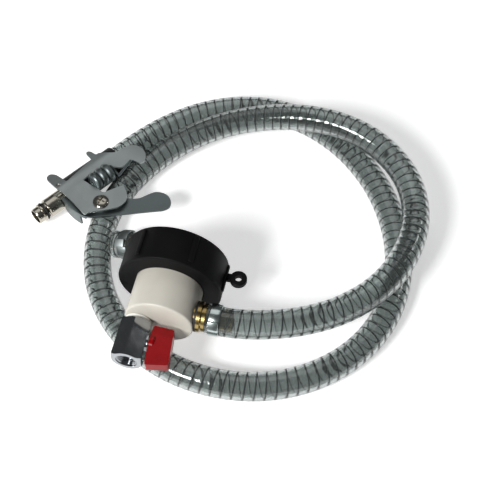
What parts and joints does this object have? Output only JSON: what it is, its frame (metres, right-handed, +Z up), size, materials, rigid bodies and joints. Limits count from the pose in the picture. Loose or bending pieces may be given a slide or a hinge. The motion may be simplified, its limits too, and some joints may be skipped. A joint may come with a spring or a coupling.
{
  "type": "container siphon hose set",
  "caption": "Screw cap with a white plastic manifold, hex ball valve with red wing knob, and a coiled clear wire-reinforced hose ending in a quick-connect plug with a spring clamp.",
  "frame": {"origin": "on the floor, under the middle of the cap, manifold and valve assembly (the free hose and what it carries are left out)", "axes": "+Y along the manifold axis from the valve to the cap mouth, +Z up, floor at z = 0"},
  "size_m": [0.3038, 0.2749, 0.0756],
  "materials": {
    "black_plastic": "satin",
    "black_rubber": "matte",
    "white_plastic": "satin",
    "white_tape": "matte",
    "white_seat": "satin",
    "chrome_plate": "polished",
    "nickel_plate": "satin",
    "yellow_brass": "machined",
    "zinc_plate": "satin",
    "red_plastic": "gloss",
    "clear_pvc": "gloss"
  },
  "bodies": {
    "manifold": {"cap_gasket": "black_rubber", "manifold_body": "white_plastic", "valve_nipple": "nickel_plate", "thread_tape": "white_tape", "valve_body": "chrome_plate", "ball_seats": "white_seat", "stem_packing": "white_seat", "gland_nut": "nickel_plate", "side_washer": "black_rubber", "side_barb": "yellow_brass", "side_clamp": "zinc_plate", "rear_washer": "black_rubber", "rear_elbow": "yellow_brass", "tail_hose": "clear_pvc", "rear_clamp": "zinc_plate", "hose": "clear_pvc", "hose_sleeve": "black_rubber", "plug_body": "nickel_plate", "plug_seal": "black_rubber", "clamp_front": "zinc_plate", "pivot_screw": "nickel_plate", "pivot_bush": "zinc_plate", "pivot_nut": "zinc_plate", "spring_barrel": "zinc_plate", "torsion_spring": "zinc_plate"},
    "cap_ring": {"cap": "black_plastic"},
    "valve_rotor": {"valve_ball": "chrome_plate", "valve_stem": "yellow_brass", "valve_knob": "red_plastic", "knob_screw": "zinc_plate"},
    "clamp_lever": {"clamp_rear": "zinc_plate"}
  },
  "joints": [
    {"name": "cap_spin", "type": "hinge", "parent": "manifold", "child": "cap_ring", "pos_m": [0.0027, 0.02045, 0.0378], "axis": [0, 1, 0], "continuous": true},
    {"name": "valve_turn", "type": "hinge", "parent": "manifold", "child": "valve_rotor", "pos_m": [-0.0113, -0.04055, 0.0378], "axis": [-1, 0, 0], "range_deg": [0, 90]},
    {"name": "clamp_squeeze", "type": "hinge", "parent": "manifold", "child": "clamp_lever", "pos_m": [-0.06995, 0.0732, 0.0235], "axis": [0, 0, 1], "range_deg": [0, 20], "stiffness_Nm_per_rad": 1.2, "springref_deg": -17.19}
  ]
}
